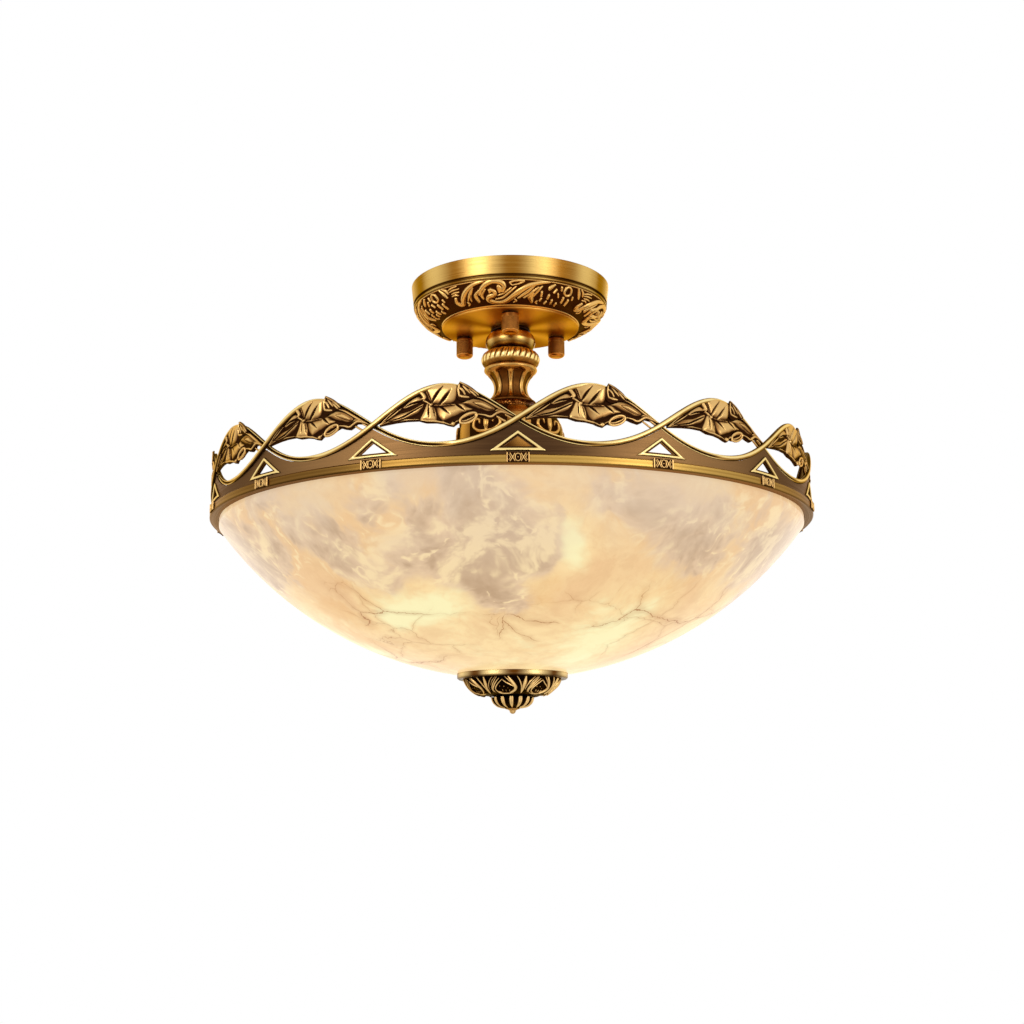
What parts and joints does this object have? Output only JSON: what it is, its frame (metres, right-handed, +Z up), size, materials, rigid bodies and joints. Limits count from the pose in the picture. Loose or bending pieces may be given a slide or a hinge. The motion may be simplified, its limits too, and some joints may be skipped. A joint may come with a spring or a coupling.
{
  "type": "semi-flush ceiling light",
  "caption": "Semi-flush ceiling light: translucent stone bowl in a pierced, woven brass crown with leaf sprays, on a turned stem under a round cast canopy, with a leaf finial",
  "frame": {"origin": "centre of the ceiling bracket's screw pattern, on the ceiling plane", "axes": "+Z up into the ceiling, -Y to the room and the viewer, +X to the right"},
  "size_m": [0.5015, 0.5014, 0.3663],
  "materials": {
    "bracket_steel": "zinc-plated steel",
    "terminal_plastic": "moulded white plastic",
    "terminal_brass": "plain turned brass",
    "brushed_brass": "brushed brass with fine turning lines and a warm clear lacquer",
    "antique_brass": "cast brass, darkened in the hollows and rubbed bright on the high parts",
    "bronze_stem": "cast brass with a brown patina and rubbed ridges",
    "dark_bronze": "dark grey-brown bronzed brass, fine brushed",
    "polished_brass": "polished brass",
    "holder_plastic": "dark heat-proof plastic",
    "felt": "dark felt",
    "opal_glass": "opal glass, lit warm white",
    "alabaster": "polished translucent alabaster with cloudy grey patches and brown veins, lit from inside"
  },
  "bodies": {
    "fixture": {"ceiling_bracket": "bracket_steel", "bracket_studs": "bracket_steel", "stud_lock_nuts": "bracket_steel", "earth_screw": "terminal_brass", "terminal_block": "terminal_plastic", "terminal_screws": "terminal_brass", "canopy_rim": "brushed_brass", "canopy_cast_band": "antique_brass", "canopy_plate": "brushed_brass", "stem_tube": "bracket_steel", "tube_washer": "bracket_steel", "tube_nut": "bracket_steel", "neck_ring": "dark_bronze", "stem_ball": "brushed_brass", "gadroon_knop": "antique_brass", "fluted_stem": "bronze_stem", "stippled_collar": "bronze_stem", "cluster_dome": "brushed_brass", "cluster_spacer": "bracket_steel", "dome_leaves": "antique_brass", "cluster_plate": "bracket_steel", "cluster_nut": "bracket_steel", "lamp_arms": "brushed_brass", "lamp_holders": "holder_plastic", "tube_coupler": "terminal_brass", "bowl_rod": "bracket_steel", "stop_nut": "bracket_steel", "inner_disc": "terminal_brass"},
    "bowl": {"alabaster_bowl": "alabaster", "lip_seal": "felt", "inner_seal": "felt", "outer_seal": "felt", "crown_wall_ring": "dark_bronze", "crown_arches": "polished_brass", "crown_swags": "polished_brass", "window_frames": "polished_brass", "lip_band": "brushed_brass", "crown_clasps": "antique_brass", "leaf_sprays": "antique_brass", "cup_disc": "brushed_brass", "leaf_cup": "antique_brass"},
    "finial": {"finial_knob": "antique_brass"},
    "washer_front": {"nut_washer_front": "dark_bronze"},
    "nut_front": {"thumb_nut_front": "dark_bronze"},
    "washer_right": {"nut_washer_right": "dark_bronze"},
    "nut_right": {"thumb_nut_right": "dark_bronze"},
    "washer_left": {"nut_washer_left": "dark_bronze"},
    "nut_left": {"thumb_nut_left": "dark_bronze"},
    "bulb_1": {"bulb_cap_1": "terminal_brass", "bulb_globe_1": "opal_glass"},
    "bulb_2": {"bulb_cap_2": "terminal_brass", "bulb_globe_2": "opal_glass"},
    "bulb_3": {"bulb_cap_3": "terminal_brass", "bulb_globe_3": "opal_glass"},
    "bulb_4": {"bulb_cap_4": "terminal_brass", "bulb_globe_4": "opal_glass"},
    "bulb_5": {"bulb_cap_5": "terminal_brass", "bulb_globe_5": "opal_glass"}
  },
  "joints": [
    {"name": "washer_drop_front", "type": "slide", "parent": "fixture", "child": "washer_front", "axis": [0, 0, -1], "range_m": [0, 0.0121]},
    {"name": "thumb_nut_turn_front", "type": "hinge", "parent": "washer_front", "child": "nut_front", "pos_m": [0, -0.0465, -0.046], "axis": [0, 0, -1], "range_deg": [0, 4320]},
    {"name": "washer_drop_right", "type": "slide", "parent": "fixture", "child": "washer_right", "axis": [0, 0, -1], "range_m": [0, 0.0121]},
    {"name": "thumb_nut_turn_right", "type": "hinge", "parent": "washer_right", "child": "nut_right", "pos_m": [0.04027, 0.02325, -0.046], "axis": [0, 0, -1], "range_deg": [0, 4320]},
    {"name": "washer_drop_left", "type": "slide", "parent": "fixture", "child": "washer_left", "axis": [0, 0, -1], "range_m": [0, 0.0121]},
    {"name": "thumb_nut_turn_left", "type": "hinge", "parent": "washer_left", "child": "nut_left", "pos_m": [-0.04027, 0.02325, -0.046], "axis": [0, 0, -1], "range_deg": [0, 4320]},
    {"name": "bowl_lower", "type": "slide", "parent": "fixture", "child": "bowl", "axis": [0, 0, -1], "range_m": [0, 0.21]},
    {"name": "finial_turn", "type": "hinge", "parent": "bowl", "child": "finial", "pos_m": [0, 0, -0.356], "axis": [0, 0, -1], "range_deg": [0, 2160]},
    {"name": "bulb_1_turn", "type": "hinge", "parent": "fixture", "child": "bulb_1", "pos_m": [-0.01673, -0.03284, -0.17154], "axis": [-0.321, -0.63, -0.7071], "range_deg": [0, 1080]},
    {"name": "bulb_2_turn", "type": "hinge", "parent": "fixture", "child": "bulb_2", "pos_m": [0.02606, -0.02606, -0.17154], "axis": [0.5, -0.5, -0.7071], "range_deg": [0, 1080]},
    {"name": "bulb_3_turn", "type": "hinge", "parent": "fixture", "child": "bulb_3", "pos_m": [0.03284, 0.01673, -0.17154], "axis": [0.63, 0.321, -0.7071], "range_deg": [0, 1080]},
    {"name": "bulb_4_turn", "type": "hinge", "parent": "fixture", "child": "bulb_4", "pos_m": [-0.00577, 0.0364, -0.17154], "axis": [-0.1106, 0.6984, -0.7071], "range_deg": [0, 1080]},
    {"name": "bulb_5_turn", "type": "hinge", "parent": "fixture", "child": "bulb_5", "pos_m": [-0.0364, 0.00577, -0.17154], "axis": [-0.6984, 0.1106, -0.7071], "range_deg": [0, 1080]}
  ],
  "couplings": [
    {"joint": "washer_drop_front", "follows": "thumb_nut_turn_front", "m_per_rad": 0.00015915},
    {"joint": "washer_drop_right", "follows": "thumb_nut_turn_right", "m_per_rad": 0.00015915},
    {"joint": "washer_drop_left", "follows": "thumb_nut_turn_left", "m_per_rad": 0.00015915}
  ]
}
